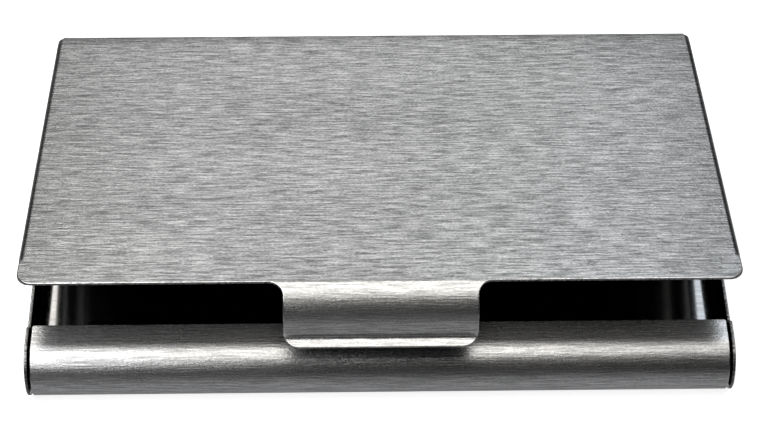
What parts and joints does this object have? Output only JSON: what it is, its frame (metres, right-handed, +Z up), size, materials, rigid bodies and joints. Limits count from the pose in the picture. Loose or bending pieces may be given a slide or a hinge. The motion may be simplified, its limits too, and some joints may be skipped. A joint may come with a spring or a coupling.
{
  "type": "business card case",
  "caption": "Flat brushed-steel case for business cards: a folded tray with a rolled front and a hinged lid with a snap tab.",
  "frame": {"origin": "centre of the tray's flat underside, 93 mm by 60 mm over the side walls and the rolled front", "axes": "+X to the user's right across the case, -Y towards the rolled front and the snap tab, +Z up"},
  "size_m": [0.094, 0.0617, 0.0208],
  "materials": {
    "tray_steel": "brushed stainless, grain along X",
    "lid_steel": "brushed stainless, grain along X",
    "rivet_steel": "turned stainless, satin",
    "spring_steel": "rolled spring strip, satin"
  },
  "bodies": {
    "case": {"tray": "tray_steel", "hinge_rivet_left": "rivet_steel", "hinge_rivet_right": "rivet_steel", "friction_spring": "spring_steel", "spring_rivet_left": "rivet_steel", "spring_rivet_right": "rivet_steel"},
    "lid": {"lid": "lid_steel"}
  },
  "joints": [
    {"name": "lid_hinge", "type": "hinge", "parent": "case", "child": "lid", "pos_m": [0, 0.027, 0.0043], "axis": [-1, 0, 0], "range_deg": [-12.5, 77.5]}
  ]
}
